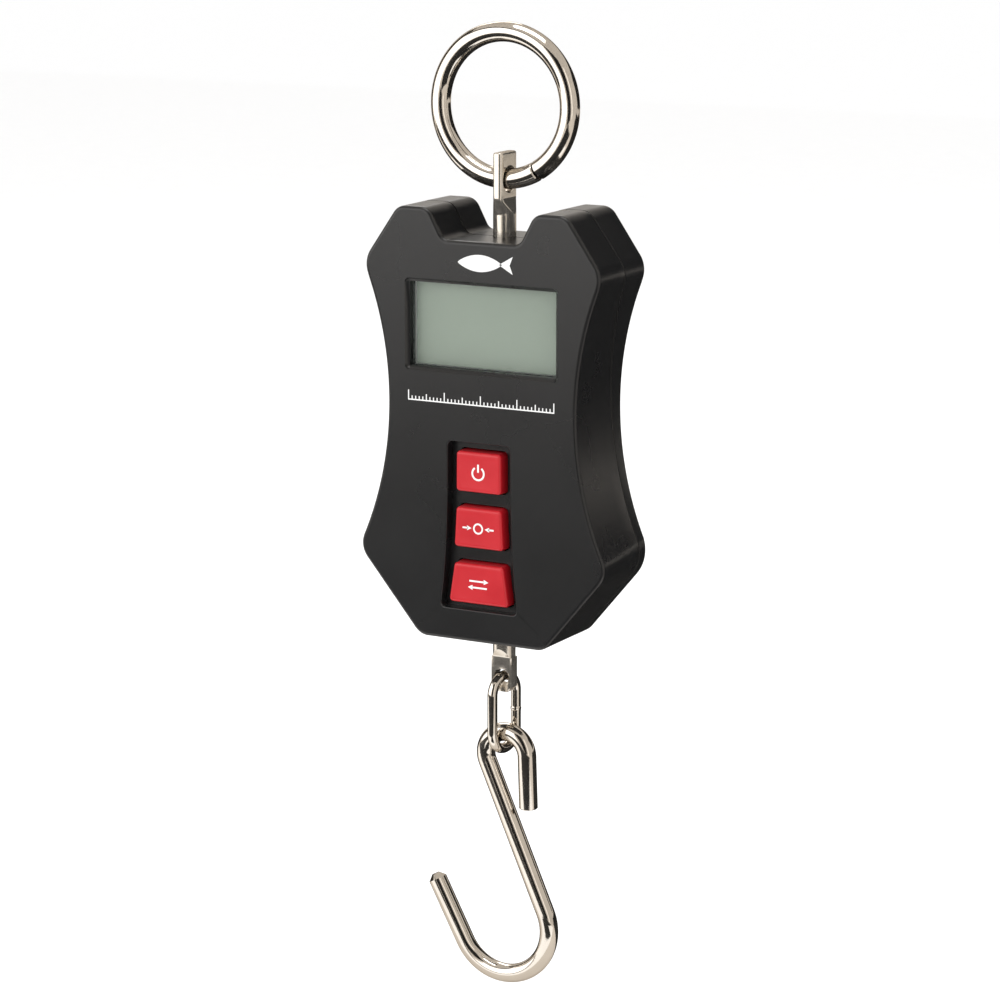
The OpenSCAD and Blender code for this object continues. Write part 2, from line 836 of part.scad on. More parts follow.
carry_ring();
top_eye_bolt();
top_lock_nut();
load_cell();
strain_gauges();
load_cell_screws();
thrust_washer();
front_cover();
rear_cover();
case_screws();
display_window();
window_gasket();
lcd_panel();
lcd_holder();
zebra_strips();
main_board();
board_chips();
board_screws();
switch_bodies();
power_button();
power_switch_tip();
tare_button();
tare_switch_tip();
unit_button();
unit_switch_tip();
battery_left();
battery_right();
spring_contacts();
plate_contacts();
battery_door();
lower_eye_bolt();
lower_lock_nut();
chain_link();
hook();
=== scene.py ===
import bpy
import bmesh
import json
import math
from mathutils import Vector, Matrix


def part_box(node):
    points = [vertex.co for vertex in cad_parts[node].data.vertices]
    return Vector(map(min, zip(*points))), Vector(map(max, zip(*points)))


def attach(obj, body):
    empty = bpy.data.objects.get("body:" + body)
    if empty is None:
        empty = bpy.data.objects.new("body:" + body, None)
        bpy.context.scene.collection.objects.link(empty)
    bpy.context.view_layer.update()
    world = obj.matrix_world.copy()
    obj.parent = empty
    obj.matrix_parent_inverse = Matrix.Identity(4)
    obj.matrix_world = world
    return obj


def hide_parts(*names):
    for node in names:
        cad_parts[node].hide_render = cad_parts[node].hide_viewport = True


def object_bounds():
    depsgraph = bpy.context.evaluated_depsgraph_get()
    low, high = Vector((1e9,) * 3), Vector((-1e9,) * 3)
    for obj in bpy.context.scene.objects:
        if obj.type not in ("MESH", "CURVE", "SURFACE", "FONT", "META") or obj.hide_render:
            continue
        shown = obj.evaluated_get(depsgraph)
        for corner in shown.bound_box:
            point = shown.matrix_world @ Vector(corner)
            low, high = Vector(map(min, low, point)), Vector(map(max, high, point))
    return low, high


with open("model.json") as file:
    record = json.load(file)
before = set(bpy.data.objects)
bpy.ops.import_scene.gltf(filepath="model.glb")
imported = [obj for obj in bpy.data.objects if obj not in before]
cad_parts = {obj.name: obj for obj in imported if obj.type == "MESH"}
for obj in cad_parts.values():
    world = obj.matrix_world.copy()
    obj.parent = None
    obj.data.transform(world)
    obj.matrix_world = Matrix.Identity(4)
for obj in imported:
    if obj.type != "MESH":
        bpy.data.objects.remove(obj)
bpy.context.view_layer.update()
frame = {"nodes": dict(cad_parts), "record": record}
nodes = frame["nodes"]
MM = 0.001


# ---------------------------------------------------------------- materials
def material(name, color, rough=0.4, metal=0.0, coat=0.0, coat_rough=0.1, tint=0.12,
             tint_scale=60.0, grain=0.0, grain_scale=2500.0, rough_var=0.06,
             streak=None, alpha=1.0, ior=1.45, rim=None):
    """Principled material: broad noise moves its colour and roughness, fine noise its bump."""
    m = bpy.data.materials.new(name)
    m.use_nodes = True
    nt = m.node_tree
    bsdf = nt.nodes["Principled BSDF"]
    bsdf.inputs["Metallic"].default_value = metal
    bsdf.inputs["IOR"].default_value = ior
    bsdf.inputs["Coat Weight"].default_value = coat
    bsdf.inputs["Coat Roughness"].default_value = coat_rough
    bsdf.inputs["Alpha"].default_value = alpha
    if rim:
        bsdf.inputs["Specular Tint"].default_value = (rim[0], rim[1], rim[2], 1)
    coord = nt.nodes.new("ShaderNodeTexCoord")
    mapping = nt.nodes.new("ShaderNodeMapping")
    if streak:
        mapping.inputs["Scale"].default_value = streak
    nt.links.new(coord.outputs["Object"], mapping.inputs["Vector"])
    broad = nt.nodes.new("ShaderNodeTexNoise")
    broad.inputs["Scale"].default_value = tint_scale
    broad.inputs["Detail"].default_value = 4.0
    nt.links.new(mapping.outputs["Vector"], broad.inputs["Vector"])
    ramp = nt.nodes.new("ShaderNodeValToRGB")
    low = [c * (1 - tint) for c in color]
    high = [min(1.0, c * (1 + tint)) for c in color]
    ramp.color_ramp.elements[0].position = 0.3
    ramp.color_ramp.elements[0].color = (low[0], low[1], low[2], 1)
    ramp.color_ramp.elements[1].position = 0.7
    ramp.color_ramp.elements[1].color = (high[0], high[1], high[2], 1)
    nt.links.new(broad.outputs["Fac"], ramp.inputs["Fac"])
    nt.links.new(ramp.outputs["Color"], bsdf.inputs["Base Color"])
    spread = nt.nodes.new("ShaderNodeMapRange")
    spread.inputs["From Min"].default_value = 0.3
    spread.inputs["From Max"].default_value = 0.7
    spread.inputs["To Min"].default_value = max(0.02, rough - rough_var)
    spread.inputs["To Max"].default_value = min(1.0, rough + rough_var)
    nt.links.new(broad.outputs["Fac"], spread.inputs["Value"])
    nt.links.new(spread.outputs["Result"], bsdf.inputs["Roughness"])
    if grain > 0:
        fine = nt.nodes.new("ShaderNodeTexNoise")
        fine.inputs["Scale"].default_value = grain_scale
        fine.inputs["Detail"].default_value = 3.0
        nt.links.new(mapping.outputs["Vector"], fine.inputs["Vector"])
        bump = nt.nodes.new("ShaderNodeBump")
        bump.inputs["Strength"].default_value = grain
        bump.inputs["Distance"].default_value = 0.0001
        nt.links.new(fine.outputs["Fac"], bump.inputs["Height"])
        nt.links.new(bump.outputs["Normal"], bsdf.inputs["Normal"])
    return m


plated = material("bright_nickel_plate", (0.72, 0.675, 0.615), rough=0.085, metal=1.0, tint=0.05,
                  tint_scale=180, grain=0.05, grain_scale=900, rough_var=0.035,
                  rim=(0.55, 0.50, 0.44))
plated_eye = material("nickel_plate_tumbled", (0.70, 0.65, 0.58), rough=0.15, metal=0.9, tint=0.05,
                      tint_scale=300, grain=0.04, grain_scale=1500, rough_var=0.04,
                      rim=(0.55, 0.50, 0.44))
zinc = material("zinc_plate", (0.62, 0.62, 0.60), rough=0.32, metal=1.0, grain=0.15)
case_black = material("case_black_satin", (0.009, 0.009, 0.0095), rough=0.28, tint=0.10,
                      tint_scale=40, grain=0.07, grain_scale=5200, rough_var=0.012, ior=1.5)
key_red = material("key_red_gloss", (0.46, 0.008, 0.015), rough=0.32, coat=0.12, coat_rough=0.2,
                   tint=0.08, tint_scale=90, grain=0.10, grain_scale=3500, rough_var=0.04)
print_white = material("pad_print_white", (0.74, 0.74, 0.73), rough=0.55, tint=0.03, grain=0.1)
window_clear = material("window_clear", (0.30, 0.34, 0.31), rough=0.06, tint=0.02, alpha=0.12,
                        rough_var=0.02)
lcd_grey = material("lcd_grey_green", (0.245, 0.295, 0.235), rough=0.45, tint=0.02, tint_scale=12,
                    coat=0.15, coat_rough=0.2, rough_var=0.03)
inside = {
    "zinc_steel": zinc,
    "cell_alloy": material("cell_alloy", (0.68, 0.69, 0.70), rough=0.36, metal=1.0, grain=0.3,
                           streak=(1, 1, 12)),
    "gauge_film": material("gauge_film", (0.72, 0.42, 0.12), rough=0.4, tint=0.2),
    "washer_brass": material("washer_brass", (0.72, 0.52, 0.22), rough=0.25, metal=1.0),
    "black_plastic": case_black,
    "black_rubber": material("black_foam", (0.02, 0.02, 0.02), rough=0.9, grain=0.8),
    "white_plastic": material("white_moulding", (0.72, 0.72, 0.70), rough=0.45, grain=0.2),
    "strip_rubber": material("strip_rubber", (0.55, 0.28, 0.32), rough=0.7, tint_scale=900,
                             tint=0.3),
    "board_green": material("board_green", (0.02, 0.16, 0.07), rough=0.35, tint=0.3, coat=0.3,
                            tint_scale=400),
    "chip_black": material("chip_black", (0.03, 0.03, 0.03), rough=0.5, grain=0.4),
    "battery_sleeve": material("battery_sleeve", (0.09, 0.12, 0.16), rough=0.28, metal=0.4,
                               tint=0.25, streak=(1, 1, 0.1)),
    "plated_steel": plated,
    "clear_window": window_clear,
    "lcd_glass": lcd_grey,
    "red_plastic": key_red,
}
slot_of = {s["node"]: s["material_slot"] for s in frame["record"]["subparts"]}


def set_material(obj, mat):
    obj.data.materials.clear()
    obj.data.materials.append(mat)


def smooth(obj, deg):
    obj.data.shade_smooth()
    obj.data.set_sharp_from_angle(angle=math.radians(deg))


def flat_faces(obj):
    """Keeps the wide flat faces flat in shading beside their rounded edges."""
    mod = obj.modifiers.new("weighted", "WEIGHTED_NORMAL")
    mod.mode = "FACE_AREA"
    mod.weight = 100
    mod.keep_sharp = True


def flat_plane(obj):
    """Shades the faces square to the front flat, and leaves the rounded ones smooth."""
    for poly in obj.data.polygons:
        if abs(poly.normal.y) > 0.9995:
            poly.use_smooth = False


def round_rim(obj, x0, x1, z0, z1, width):
    """Rounds the front rim of the openings inside a rectangle, in mm."""
    bm = bmesh.new()
    bm.from_mesh(obj.data)
    layer = bm.edges.layers.float.get("bevel_weight_edge")
    if layer is None:
        layer = bm.edges.layers.float.new("bevel_weight_edge")
    for e in bm.edges:
        at = (e.verts[0].co + e.verts[1].co) / 2 / MM
        flat = [abs(f.normal.y) for f in e.link_faces]
        inside_box = x0 < at.x < x1 and z0 < at.z < z1 and abs(at.y - FRONT) < 0.02
        if inside_box and len(flat) == 2 and max(flat) > 0.99 and min(flat) < 0.3:
            e[layer] = 1.0
            e.smooth = True
    bm.to_mesh(obj.data)
    bm.free()
    mod = obj.modifiers.new("rim", "BEVEL")
    mod.width = width
    mod.segments = 3
    mod.limit_method = "WEIGHT"
    mod.use_clamp_overlap = True


def soften(obj, width, deg, segments):
    """Rounds the edges sharper than deg by modifiers, so the CAD mesh stays as it is."""
    weld = obj.modifiers.new("weld", "WELD")
    weld.merge_threshold = 0.000002
    mod = obj.modifiers.new("edge", "BEVEL")
    mod.width = width
    mod.segments = segments
    mod.limit_method = "ANGLE"
    mod.angle_limit = math.radians(deg)
    mod.use_clamp_overlap = True
    mod.harden_normals = False


for name, obj in nodes.items():
    mat = inside[slot_of[name]]
    for i in range(len(obj.material_slots)):
        obj.material_slots[i].material = mat
    if not obj.material_slots:
        obj.data.materials.append(mat)
for name in ("top_eye_bolt", "lower_eye_bolt"):
    for s in nodes[name].material_slots:
        s.material = plated_eye


# ---------------------------------------------------------------- sizes, in mm
def mm_box(node):
    low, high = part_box(node)
    return [v / MM for v in low], [v / MM for v in high]


def middle(node, axis):
    low, high = mm_box(node)
    return (low[axis] + high[axis]) / 2


front_lo = mm_box("front_cover")[0]
FRONT = front_lo[1]
BACK = mm_box("rear_cover")[1][1]
EDGE = 1.2  # the outline below is drawn this far inside the case
BOTTOM = front_lo[2] + EDGE
NOTCH = BOTTOM + 103.3  # floor of the notch in that outline
HALF_W = 35.8
ring_lo, ring_hi = mm_box("carry_ring")
WIRE_R = (ring_hi[1] - ring_lo[1]) / 2
RING_R = (ring_hi[0] - ring_lo[0]) / 2 - WIRE_R
RING_Z = ring_hi[2] - RING_R - WIRE_R


# ---------------------------------------------------------------- outline of the case
def unit(v):
    return v / v.length


def inset_corners(list_, d):
    """Moves a closed list of (corner, radius) in by d."""
    out = []
    n = len(list_)
    for i in range(n):
        a, b, c = list_[i - 1][0], list_[i][0], list_[(i + 1) % n][0]
        e1, e2 = unit(b - a), unit(c - b)
        n1, n2 = Vector((e1.y, -e1.x)), Vector((e2.y, -e2.x))
        out.append((b + (n1 + n2) * (d / (1 + n1.dot(n2))), list_[i][1]))
    return out


def rounded(list_, shrink, fine=5.0):
    """Points of an outline with its corners rounded, about one point each fine degrees."""
    pts = []
    n = len(list_)
    for i in range(n):
        a, b, c = list_[i - 1][0], list_[i][0], list_[(i + 1) % n][0]
        if list_[i][1] == 0:
            pts.append(b.copy())
            continue
        u, v = unit(a - b), unit(c - b)
        turn = (b - a).x * (c - b).y - (b - a).y * (c - b).x
        r = max(0.35, list_[i][1] - (shrink if turn < 0 else -shrink))
        half = math.acos(max(-1.0, min(1.0, u.dot(v)))) / 2
        run = r / math.tan(half)
        hub = b + unit(u + v) * (r / math.sin(half))
        sweep = math.pi - 2 * half
        side = -1 if (u.x * v.y - u.y * v.x) > 0 else 1
        e = b + u * run - hub
        steps = max(3, math.ceil(math.degrees(sweep) / fine))
        for k in range(steps + 1):
            t = side * sweep * k / steps
            pts.append(hub + Vector((e.x * math.cos(t) - e.y * math.sin(t),
                                     e.x * math.sin(t) + e.y * math.cos(t))))
    return pts


WAIST_R, WAIST_X, WAIST_Z = 91.0, 117.65, NOTCH - 42.0
UPPER_Z, LOWER_Z, EAR_Z = NOTCH - 5.8, NOTCH - 82.0, NOTCH + 8.1
half = [(Vector((11.7, NOTCH)), 3.8), (Vector((16.0, EAR_Z)), 3.0),
        (Vector((24.1, EAR_Z)), 3.4), (Vector((33.8, UPPER_Z)), 5.7)]
for k in range(41):
    z = UPPER_Z - 4 + (LOWER_Z + 8 - UPPER_Z) * k / 40
    half.append((Vector((WAIST_X - math.sqrt(WAIST_R ** 2 - (z - WAIST_Z) ** 2), z)), 0))
half += [(Vector((HALF_W, LOWER_Z)), 5.0), (Vector((18.0, BOTTOM)), 4.0)]


def case_loop(d, y=FRONT):
    """Outline inset by d; the two lower corners get rounder towards the back."""
    grow = 4.0 * max(0.0, min(1.0, (y - FRONT - 3) / (BACK - FRONT - 3)))
    side = half[:-2] + [(half[-2][0], half[-2][1] + grow), half[-1]]
    corners = side + [(Vector((-p.x, p.y)), r) for p, r in reversed(side)]
    return rounded(inset_corners(corners, d - EDGE), d - EDGE)


def part_y(z):
    """Depth of the parting line between the covers at height z."""
    marks = [(NOTCH, 0.0), (NOTCH - 8, 1.2), (NOTCH - 24, 4.4), (NOTCH - 38, 6.6),
             (NOTCH - 52, 7.8), (NOTCH - 64, 8.2)]
    if z >= marks[0][0]:
        return marks[0][1]
    for (z1, y1), (z0, y0) in zip(marks, marks[1:]):
        if z >= z0:
            return y1 + (y0 - y1) * (z1 - z) / (z1 - z0)
    return marks[-1][1]


def mesh_object(name, bm):
    me = bpy.data.meshes.new(name)
    bmesh.ops.recalc_face_normals(bm, faces=bm.faces)
    bm.to_mesh(me)
    bm.free()
    obj = bpy.data.objects.new(name, me)
    bpy.context.scene.collection.objects.link(obj)
    return obj


def loft(name, rings):
    """Closed solid through loops of (x, y, z) points in mm, all the same length."""
    bm = bmesh.new()
    layers = [[bm.verts.new((p[0] * MM, p[1] * MM, p[2] * MM)) for p in ring] for ring in rings]
    n = len(layers[0])
    for a, b in zip(layers, layers[1:]):
        for i in range(n):
            bm.faces.new((a[i], a[(i + 1) % n], b[(i + 1) % n], b[i]))
    bm.faces.new(list(reversed(layers[0])))
    bm.faces.new(layers[-1])
    return mesh_object(name, bm)


def ring_at(loop, y):
    return [(p.x, y(p.y) if callable(y) else y, p.y) for p in loop]


def cut(obj, tool, how="INTERSECT"):
    """Boolean of obj with tool, baked into obj; the tool is used up."""
    mod = obj.modifiers.new("cut", "BOOLEAN")
    mod.operation = how
    mod.solver = "EXACT"
    mod.object = tool
    bpy.context.view_layer.update()
    dg = bpy.context.evaluated_depsgraph_get()
    me = bpy.data.meshes.new_from_object(obj.evaluated_get(dg))
    obj.modifiers.clear()
    old = obj.data
    obj.data = me
    bpy.data.meshes.remove(old)
    bpy.data.objects.remove(tool, do_unlink=True)


def copy_of(node, name):
    obj = bpy.data.objects.new(name, nodes[node].data.copy())
    bpy.context.scene.collection.objects.link(obj)
    return obj


def tidy(obj):
    """Joins the doubled points that a boolean leaves."""
    bm = bmesh.new()
    bm.from_mesh(obj.data)
    bmesh.ops.remove_doubles(bm, verts=bm.verts, dist=0.000004)
    bmesh.ops.dissolve_degenerate(bm, edges=bm.edges, dist=0.000001)
    bm.to_mesh(obj.data)
    bm.free()


# ---------------------------------------------------------------- case covers
INSET = 0.12  # the shells stay this far inside the sides of the CAD covers
FACE_R = 1.0  # rounding round the front face
BACK_R = 1.3  # rounding round the back face
SIDE_IN = 0.08  # lean of the sides towards the front
GROOVE, GROOVE_IN = 0.28, 0.5  # half width and depth of the parting groove
LIP = 0.05  # slant of the groove's walls, and each shell's reach past the parting line
SEAM_Y = 8.0  # depth where the outline is taken for the parting line


def side_in(y):
    return INSET + SIDE_IN * max(0.0, (SEAM_Y - y)) / (SEAM_Y - FRONT)


rings = []
for k in range(9):
    a = math.radians(90 * k / 8)
    y = FRONT + FACE_R * (1 - math.cos(a))
    rings.append(ring_at(case_loop(side_in(y) + FACE_R * (1 - math.sin(a))), y))
for t in (0.25, 0.5, 0.75):
    d = side_in(FRONT + 12 * t)
    rings.append(ring_at(case_loop(d, FRONT + 21 * t),
                         lambda z, t=t: FRONT + 1.2 + (part_y(z) - 1.7 - FRONT) * t))
outer, inner = case_loop(INSET, SEAM_Y), case_loop(INSET + GROOVE_IN, SEAM_Y)
rings.append(ring_at(outer, lambda z: part_y(z) - GROOVE))
rings.append(ring_at(inner, lambda z: part_y(z) - GROOVE + LIP))
rings.append(ring_at(inner, lambda z: part_y(z) + LIP))
front_shell = copy_of("front_cover", "front_shell")
cut(front_shell, loft("front_envelope", rings))

rings = [ring_at(inner, lambda z: part_y(z) - LIP),
         ring_at(inner, lambda z: part_y(z) + GROOVE - LIP),
         ring_at(outer, lambda z: part_y(z) + GROOVE)]
for k in range(9):
    a = math.radians(90 * k / 8)
    rings.append(ring_at(case_loop(INSET + BACK_R * (1 - math.cos(a)), BACK),
                         BACK - BACK_R + BACK_R * math.sin(a)))
rear_shell = copy_of("rear_cover", "rear_shell")
cut(rear_shell, loft("rear_envelope", rings))
for shell, node in ((front_shell, "front_cover"), (rear_shell, "rear_cover")):
    tidy(shell)
    set_material(shell, case_black)
    smooth(shell, 28)
    flat_plane(shell)
    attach(shell, "case")
    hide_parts(node)


# ---------------------------------------------------------------- keys
KEY_TOP = NOTCH - 51.3  # top and bottom of the key opening
KEY_BOT = NOTCH - 95.7
KEY_X = middle("power_button", 0)
key_face = mm_box("power_button")[0][1]
KEY_CORNER, KEY_EDGE = 1.15, 0.8
KEY_REACH = {"power": (2.2, 13.1), "tare": (17.0, 27.9), "unit": (31.9, 42.8)}  # below KEY_TOP
round_rim(front_shell, KEY_X - 13, KEY_X + 13, KEY_BOT - 1, KEY_TOP + 1, 0.00035)
for shell in (front_shell, rear_shell):
    flat_faces(shell)


def key_half(z):
    """Half the width of the key group at height z; it widens downwards."""
    t = (KEY_TOP - z) / (KEY_TOP - KEY_BOT)
    return 9.2 + 2.2 * t ** 3 - 2.5


for tag, (upper, lower) in KEY_REACH.items():
    z1, z0 = KEY_TOP - upper, KEY_TOP - lower
    w1, w0 = key_half(z1 + 2.5), key_half(z0 - 2.5)
    quad = [(Vector(at), KEY_CORNER) for at in (
        (KEY_X - w1, z1), (KEY_X + w1, z1), (KEY_X + w0, z0), (KEY_X - w0, z0))]

    def key_loop(d, quad=quad):
        return rounded(inset_corners(quad, d), d, 9.0)
    rings = [ring_at(key_loop(0), FRONT + 4.6), ring_at(key_loop(0.02), FRONT + 3)]
    for k in range(7):
        a = math.radians(90 * k / 6)
        rings.append(ring_at(key_loop(0.15 + KEY_EDGE * (1 - math.cos(a))),
                             key_face + KEY_EDGE * (1 - math.sin(a))))
    rings.append(ring_at(key_loop(1.6), key_face + 0.01))
    rings.append(ring_at(key_loop(2.8), key_face + 0.05))
    cap = loft(tag + "_cap", rings)
    set_material(cap, key_red)
    smooth(cap, 50)
    flat_faces(cap)
    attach(cap, tag + "_key")
    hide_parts(tag + "_button")


# ---------------------------------------------------------------- printed marks
def plates(name, shapes, y0, y1, body):
    """Thin white plates from outlines of (x, z) points in mm, from y0 back to y1."""
    bm = bmesh.new()
    for loop in shapes:
        a = [bm.verts.new((x * MM, y0 * MM, z * MM)) for x, z in loop]
        b = [bm.verts.new((x * MM, y1 * MM, z * MM)) for x, z in loop]
        n = len(loop)
        for i in range(n):
            bm.faces.new((a[i], a[(i + 1) % n], b[(i + 1) % n], b[i]))
        bm.faces.new(list(reversed(a)))
        bm.faces.new(b)
    obj = mesh_object(name, bm)
    set_material(obj, print_white)
    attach(obj, body)


def arc_band(cx, cz, r, w, a0, a1, steps=24):
    """Outline of a band of width w along an arc."""
    out, back = [], []
    for k in range(steps + 1):
        a = math.radians(a0 + (a1 - a0) * k / steps)
        out.append((cx + (r + w / 2) * math.cos(a), cz + (r + w / 2) * math.sin(a)))
        back.append((cx + (r - w / 2) * math.cos(a), cz + (r - w / 2) * math.sin(a)))
    return out + back[::-1]


def bar(x0, z0, x1, z1, w):
    """Outline of a straight bar of width w."""
    d = Vector((x1 - x0, z1 - z0))
    n = Vector((-d.y, d.x)).normalized() * (w / 2)
    return [(x0 + n.x, z0 + n.y), (x1 + n.x, z1 + n.y),
            (x1 - n.x, z1 - n.y), (x0 - n.x, z0 - n.y)]


def head(x, z, deg, s):
    """Outline of an arrow head of size s that points to deg."""
    a = math.radians(deg)
    return [(x + s * math.cos(a + t), z + s * math.sin(a + t)) for t in (0, 2.25, -2.25)]


KY0, KY1 = key_face, key_face + 0.35
zc = {tag: middle(tag + "_button", 2) for tag in KEY_REACH}
plates("power_icon", [arc_band(KEY_X, zc["power"] - 0.2, 1.7, 0.5, 125, 415),
                      bar(KEY_X, zc["power"] + 0.1, KEY_X, zc["power"] + 2.2, 0.5)],
       KY0, KY1, "power_key")
z = zc["tare"]
plates("tare_icon", [arc_band(KEY_X, z, 1.25, 0.45, 0, 358, 30),
                     bar(KEY_X - 4.6, z, KEY_X - 3.0, z, 0.45), head(KEY_X - 2.75, z, 0, 0.8),
                     bar(KEY_X + 4.6, z, KEY_X + 3.0, z, 0.45), head(KEY_X + 2.75, z, 180, 0.8)],
       KY0, KY1, "tare_key")
z = zc["unit"]
plates("unit_icon", [bar(KEY_X - 2.6, z + 0.85, KEY_X + 1.6, z + 0.85, 0.45),
                     head(KEY_X + 2.2, z + 0.85, 0, 0.85),
                     bar(KEY_X + 2.6, z - 0.85, KEY_X - 1.6, z - 0.85, 0.45),
                     head(KEY_X - 2.2, z - 0.85, 180, 0.85)],
       KY0, KY1, "unit_key")

FY0, FY1 = FRONT - 0.02, FRONT + 0.3
zt = NOTCH - 4.4
fish = []
for k in range(33):
    t = k / 32
    x = -6.6 + 13.0 * t
    fish.append((x, zt + 2.2 * math.sin(math.pi * min(1.0, t * 1.02)) ** 0.75))
fish += [(x, 2 * zt - zz) for x, zz in reversed(fish[1:-1])]
plates("fish_mark", [fish, [(5.6, zt + 0.12), (9.4, zt + 2.3), (8.5, zt), (9.4, zt - 2.3),
                            (5.6, zt - 0.12)]], FY0, FY1, "case")
zt = NOTCH - 40.2
ticks = [bar(-21.5, zt - 1.1, 21.5, zt - 1.1, 0.32)]
for k in range(41):
    x = -21.35 + 42.7 * k / 40
    tall = 2.5 if k % 10 == 0 else 1.7 if k % 5 == 0 else 1.0
    ticks.append(bar(x, zt - 0.95, x, zt - 1.1 + tall, 0.3))
plates("tick_row", ticks, FY0, FY1, "case")


# ---------------------------------------------------------------- wire pieces
def tube(name, path, radii, segments):
    """Round wire along path (mm) with a radius at each point, flat closed ends."""
    bm = bmesh.new()
    n = len(path)
    layers = []
    side = None
    for i, p in enumerate(path):
        a = path[max(i - 1, 0)]
        b = path[min(i + 1, n - 1)]
        if i > 0 and (path[i] - path[i - 1]).length < 1e-4:
            a = path[i - 2]
        if i < n - 1 and (path[i + 1] - path[i]).length < 1e-4:
            b = path[min(i + 2, n - 1)]
        t = (b - a).normalized()
        if side is None:
            side = t.cross(Vector((0, 1, 0)))
            if side.length < 0.1:
                side = t.cross(Vector((0, 0, 1)))
        side = (side - t * side.dot(t)).normalized()
        up = t.cross(side)
        layers.append([bm.verts.new((p + (side * math.cos(w) + up * math.sin(w)) * radii[i]) * MM)
                       for w in [2 * math.pi * k / segments for k in range(segments)]])
    for a, b in zip(layers, layers[1:]):
        for k in range(segments):
            bm.faces.new((a[k], a[(k + 1) % segments], b[(k + 1) % segments], b[k]))
    bm.faces.new(list(reversed(layers[0])))
    bm.faces.new(layers[-1])
    obj = mesh_object(name, bm)
    set_material(obj, plated)
    smooth(obj, 34)
    return obj


def arc(cx, cz, r, a0, a1, n):
    """Points along an arc in the plane of the hook."""
    return [Vector((cx + r * math.cos(math.radians(a0 + (a1 - a0) * k / n)), 0,
                    cz + r * math.sin(math.radians(a0 + (a1 - a0) * k / n))))
            for k in range(n + 1)]


def ends(path, r, chamfer, start_chamfer=None):
    """Adds a small chamfer at both ends; returns path and radii."""
    s = chamfer if start_chamfer is None else start_chamfer
    t0 = (path[1] - path[0]).normalized()
    t1 = (path[-1] - path[-2]).normalized()
    p = [path[0], path[0] + t0 * s] + path[1:-1] + [path[-1] - t1 * chamfer, path[-1]]
    radii = [r - s, r] + [r] * (len(path) - 2) + [r, r - chamfer]
    return p, radii


gap = math.degrees(0.22 / RING_R)
path = arc(0, RING_Z, RING_R, -60 + gap, 300 - gap, 190)
path, radii = ends(path, WIRE_R, 0.28)
ring = tube("ring_wire", path, radii, 56)
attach(ring, "carry_ring")
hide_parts("carry_ring")

link_lo, link_hi = mm_box("chain_link")
LINK_R = 1.35  # of the wire
BEND_R = 5.0  # of the rounded ends, to the middle of the wire
top_z, low_z = link_hi[2] - LINK_R - BEND_R, link_lo[2] + LINK_R + BEND_R
weld_z = (top_z + low_z) / 2
path = [Vector((BEND_R, 0, weld_z - 0.15))]
path += arc(0, low_z, BEND_R, 0, -180, 40)
path += arc(0, top_z, BEND_R, 180, 0, 40)
path += [Vector((BEND_R, 0, weld_z + 0.15))]
turn = Matrix.Rotation(math.radians(80), 3, "Z")  # the link hangs turned to the side
path = [turn @ p for p in path]
path, radii = ends(path, LINK_R, 0.12)
link = tube("link_wire", path, radii, 40)
weld_path = [turn @ Vector((BEND_R, 0, weld_z + d)) for d in (-0.8, -0.5, 0, 0.5, 0.8)]
weld_radii = [1.2, LINK_R + 0.05, LINK_R + 0.12, LINK_R + 0.05, 1.2]
weld = tube("link_weld", weld_path, weld_radii, 40)
for o in (link, weld):
    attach(o, "chain_link")
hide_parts("chain_link")

HOOK_R, BOWL_R, LOOP_R = 2.5, 13.6, 6.2  # wire, lower bowl, upper loop
TIP_DEG = 208  # where the bowl ends and the straight tip starts
LEG_DEG = 2  # lean of the short leg that closes the loop
bowl = Vector((0.1, mm_box("hook")[0][2] + BOWL_R + HOOK_R))
loop = Vector((0.7, bowl.y + 47.7))
lean = loop - bowl
shank = 90 + math.degrees(math.asin((BOWL_R + LOOP_R) / lean.length)
                          - math.atan2(lean.x, lean.y))
tip_from = Vector((bowl.x + BOWL_R * math.cos(math.radians(TIP_DEG)), 0,
                   bowl.y + BOWL_R * math.sin(math.radians(TIP_DEG))))
tip_dir = Vector((math.cos(math.radians(TIP_DEG - 90)), 0,
                  math.sin(math.radians(TIP_DEG - 90))))
path = [tip_from + tip_dir * d for d in (19.8, 15, 10, 5)]
path += arc(bowl.x, bowl.y, BOWL_R, TIP_DEG, 360 + shank - 90, 70)
a = path[-1]
b = arc(loop.x, loop.y, LOOP_R, shank + 90, LEG_DEG, 60)
path += [a.lerp(b[0], t) for t in (0.25, 0.5, 0.75)]
path += b
leg = Vector((math.sin(math.radians(LEG_DEG)), 0, -math.cos(math.radians(LEG_DEG))))
path += [b[-1] + leg * d for d in (4, 8, 12, 14.3)]
path, radii = ends(path, HOOK_R, 0.25, 1.5)
hook = tube("hook_wire", path, radii, 56)
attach(hook, "hook")
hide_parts("hook")

eye_lo, eye_hi = mm_box("top_eye_bolt")
EYE_Z = eye_hi[2] - 7  # middle of the hole
EYE_A, EYE_B = 1.45, eye_hi[1]  # half thickness and half width
ROD = eye_hi[0]  # radius of the round shank
EYE_CORNER = 1.15


def bolt_ring(z, a, b, r):
    """Section of the bolt at height z, with half sizes a and b and corner radius r."""
    out = []
    for quarter, (sx, sy) in enumerate(((1, 1), (-1, 1), (-1, -1), (1, -1))):
        for k in range(11):
            t = math.radians(90 * quarter + 9 * k)
            out.append((sx * (a - r) + r * math.cos(t), sy * (b - r) + r * math.sin(t), z))
    return out


